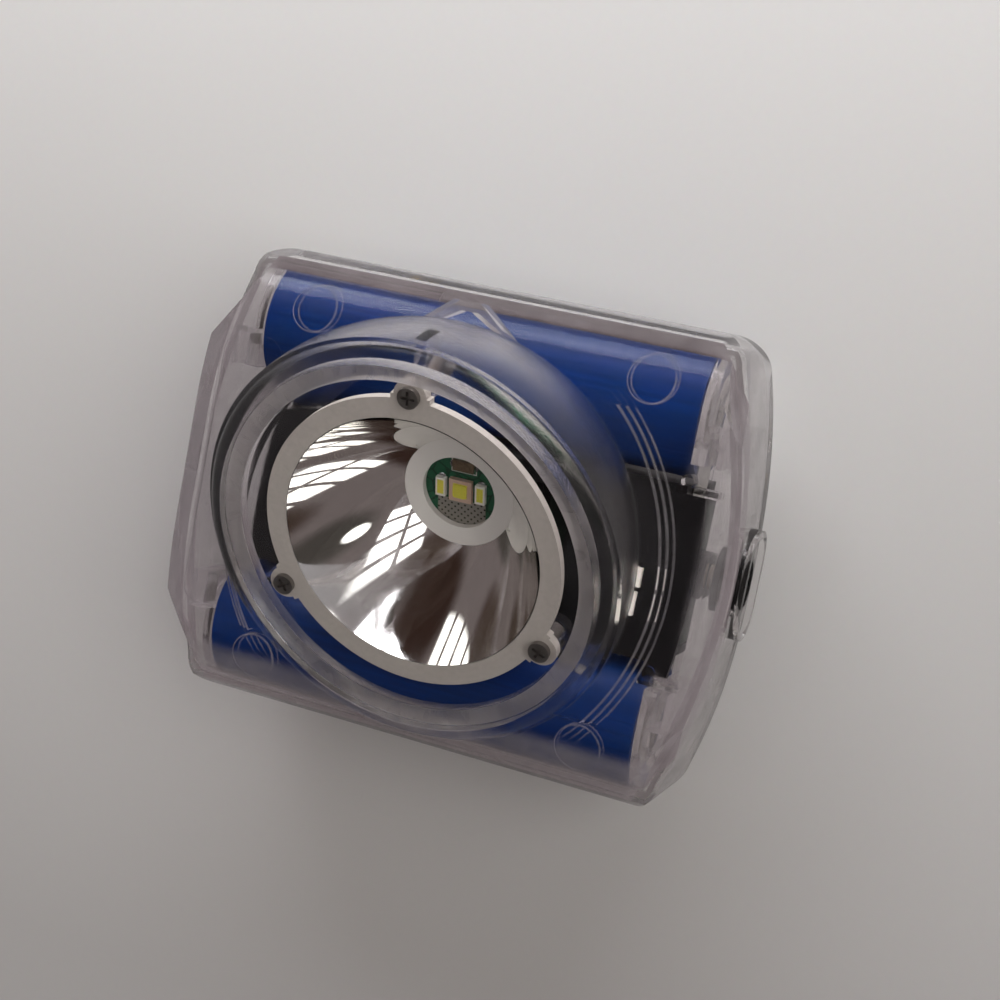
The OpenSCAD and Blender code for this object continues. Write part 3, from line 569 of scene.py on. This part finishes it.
white_ink = toned("white_screen_ink", "CFCFCA", "F0F0EC", 0.6, 0.0, 0.2)
box = bmesh.new()
bmesh.ops.create_grid(box, x_segments=1, y_segments=1, size=1.0)
bmesh.ops.scale(box, vec=BOX_HALF, verts=box.verts)
band = bmesh.ops.inset_region(box, faces=box.faces[:], thickness=BOX_LINE, use_boundary=True, use_even_offset=True)
bmesh.ops.delete(box, geom=[f for f in box.faces if f not in band["faces"]], context="FACES_ONLY")
raised = bmesh.ops.extrude_face_region(box, geom=box.faces[:])["geom"]
bmesh.ops.translate(box, vec=(0, 0, INK), verts=[v for v in raised if isinstance(v, bmesh.types.BMVert)])
bmesh.ops.translate(box, vec=BOX_AT, verts=box.verts)
keep(box, "resistor_print", white_ink, to_lamp)

# %% Solder fillets
RESISTOR_ENDS = [(x, 3.9, 0.3, 0.62) for x in (-1.6, 2.2)]                          # x, y, half width, half depth
PACKAGE_ENDS = [(x, y, 0.6, 0.26) for x in (-3.05, 3.05) for y in (-1.62, 1.72)]
FILLET_HALF, FILLET_T = 0.3, -1.25

tin_solder = toned("tin_solder", "A7A8AA", "D2D3D5", 0.22, 1.0, 0.15)
solder = bmesh.new()
for x, y, wide, deep in RESISTOR_ENDS + PACKAGE_ENDS:
    dome = bmesh.ops.create_uvsphere(solder, u_segments=16, v_segments=8, radius=1.0)["verts"]
    bmesh.ops.scale(solder, vec=(wide, deep, FILLET_HALF), verts=dome)
    bmesh.ops.translate(solder, vec=(x, y, FILLET_T), verts=dome)
keep(solder, "board_solder", tin_solder, to_lamp)

# %% [markdown]
# ## Spot welds
# The nickel strips are welded to the cells with pairs of electrodes, which leave four small round marks
# over each cell. Each is a shallow disc with a bevelled edge, standing a tenth of a millimetre off the strip.

# %% Weld marks
CELL_Y, CELL_Z = 22.2, 16.9                       # middle of a cell's end, in mm
STRIP_FACES = ((33.5, 1), (-32.7, -1))            # x of each strip's outer face, and the way it faces

welds = bmesh.new()
for strip_x, side in STRIP_FACES:
    quarter_turn = Matrix.Rotation(math.radians(90 * side), 3, "Y")
    for cell_y in (-CELL_Y, CELL_Y):
        for dy in (-1.6, 1.6):
            for dz in (-1.7, 1.7):
                dot = bmesh.ops.create_cone(welds, cap_ends=True, segments=16, radius1=0.55, radius2=0.35, depth=0.12)
                bmesh.ops.rotate(welds, matrix=quarter_turn, verts=dot["verts"])
                bmesh.ops.translate(welds, vec=(strip_x + 0.05 * side, cell_y + dy, CELL_Z + dz), verts=dot["verts"])
keep(welds, "weld_marks", nickel, Matrix.Scale(MM, 4))

# %% [markdown]
# ## Floor and light
# The lamp lies on a pale matt sheet. A low soft light stands beyond the top of the view, and a painted gradient of
# light on the sheet rises towards it, from a mid grey to nearly white, standing in for the fall of that light. The
# rest of the light is a room: a barred window with a rail above the button end, one small bright spot high on the
# other side, a dim warm ceiling, and four dark areas. Three of them give the mirror its dark fans, and the last lies
# where the flat window would reflect it, so that the window looks clear. The room is painted on the world by
# direction, so it stays where it is in every view. The camera itself sees a plain pale backdrop.

# %% Floor
PAINTED_LIGHT_SPAN_Y = 0.09            # the painted light gradient on the sheet runs from this far before the lamp to this far behind it

material, tree, place = finish_named("matt_paper")
fibres = noise(tree, place, 900.0, 3.0)
# painted light: the sheet is darker before the lamp and lighter behind it, standing in for the fall of the low light
towards_low_light = ramp(tree, split(tree, place)["Y"], -PAINTED_LIGHT_SPAN_Y, PAINTED_LIGHT_SPAN_Y)
painted_light_tone = blend(tree, towards_low_light, hexa("BBB9B8"), hexa("EEEDEC"))
tone = blend(tree, 0.04, painted_light_tone, fibres["Color"], "MULTIPLY")
show(tree, principled(tree, {"Base Color": tone, "Roughness": 0.85,
                             "Normal": relief(tree, 0.1, 0.00004, fibres["Fac"])}))

sheet = bmesh.new()
bmesh.ops.create_grid(sheet, x_segments=1, y_segments=1, size=3.0)
floor = as_object(sheet, "floor", material)
print("floor with", material.name)

# %% Low soft light
LIGHT_AT, LIGHT_AIM = Vector((-0.05, 0.42, 0.20)), Vector((0.0, 0.12, 0.0))

low_light = bpy.data.objects.new("low_light", bpy.data.lights.new("low_light", "AREA"))
low_light.data.shape = "RECTANGLE"
low_light.data.size, low_light.data.size_y = 0.5, 0.12
low_light.data.energy = 1.7
low_light.data.color = hexa("F6F8FA")[:3]
low_light.location = LIGHT_AT
low_light.rotation_euler = (LIGHT_AIM - LIGHT_AT).to_track_quat("-Z", "Y").to_euler()
low_light.visible_camera = False
bpy.context.scene.collection.objects.link(low_light)
print("low light of", low_light.data.energy, "W")

# %% Areas of the room
def lobe(tree, towards, direction, inner, outer):
    near = vector(tree, "DOT_PRODUCT", towards, Vector(direction).normalized(), gives="Value")
    return ramp(tree, near, math.cos(math.radians(outer)), math.cos(math.radians(inner)), shape="SMOOTHSTEP")


def pane(tree, towards, direction, half_wide, half_high, soft):
    front = Vector(direction).normalized()
    side = front.cross(Vector((0, 0, 1))).normalized()
    up = side.cross(front)
    ahead, across, upward = (vector(tree, "DOT_PRODUCT", towards, v, gives="Value") for v in (front, side, up))
    ahead = calc(tree, "MAXIMUM", ahead, 0.001)
    across, upward = calc(tree, "DIVIDE", across, ahead), calc(tree, "DIVIDE", upward, ahead)
    shape = calc(tree, "MULTIPLY", zone(tree, across, -half_wide, half_wide, soft),
                 zone(tree, upward, -half_high, half_high, soft))
    folded = calc(tree, "PINGPONG", across, 0.12)
    bars = calc(tree, "MAXIMUM", zone(tree, folded, -0.02, 0.026, 0.008), zone(tree, upward, -0.02, 0.03, 0.01))
    return calc(tree, "SUBTRACT", shape, bars, clamp=True)


print("room areas: lobe and pane")

# %% The room
DARK_AREAS = (            # direction, degrees of the full tone, degrees where it ends, tone
    ((0.45, -0.55, 0.72), 14, 26, "3C2A24"),
    ((0.1, 0.62, 0.78), 12, 24, "4A3A32"),
    ((-0.42, 0.05, 0.9), 8, 20, "55504C"),
    ((-0.33, -0.79, 0.52), 16, 32, "2E2A28"),
)

world = bpy.data.worlds.new("room")
bpy.context.scene.world = world
world.use_nodes = True
tree = world.node_tree
tree.nodes.clear()
towards = put(tree, "ShaderNodeTexCoord").outputs["Generated"]
ceiling = ramp(tree, split(tree, towards)["Z"], 0.1, 0.55, shape="SMOOTHSTEP")
room = blend(tree, ceiling, hexa("B2B0B0"), hexa("857A79"))
for direction, inner, outer, tone in DARK_AREAS:
    room = blend(tree, lobe(tree, towards, direction, inner, outer), room, hexa(tone))
plain = put(tree, "ShaderNodeBackground", sockets={"Color": room, "Strength": 0.92}).outputs["Background"]
bright = put(tree, "ShaderNodeBackground", sockets={"Color": hexa("FFFDF8"), "Strength": 4.2}).outputs["Background"]
lamps = calc(tree, "MAXIMUM", pane(tree, towards, (0.70, 0.22, 0.66), 0.42, 0.30, 0.04),
             lobe(tree, towards, (-0.37, -0.13, 0.92), 3, 5))
backdrop = put(tree, "ShaderNodeBackground", sockets={"Color": hexa("C8C6C6"), "Strength": 1.0})
by_camera = put(tree, "ShaderNodeLightPath").outputs["Is Camera Ray"]
seen = mixed(tree, by_camera, mixed(tree, lamps, plain, bright), backdrop.outputs["Background"])
put(tree, "ShaderNodeOutputWorld", sockets={"Surface": seen})
print("room ready:", len(tree.nodes), "nodes")

# %% [markdown]
# ## Bounces
# A ray to the cells and back crosses the casing, the window and the mirror, and each wall counts twice. So
# the number of bounces is raised until no wall turns black.

# %% Bounces
cycles = bpy.context.scene.cycles
cycles.max_bounces = cycles.transmission_bounces = cycles.transparent_max_bounces = 24
cycles.glossy_bounces = 10
print("bounces:", cycles.max_bounces)
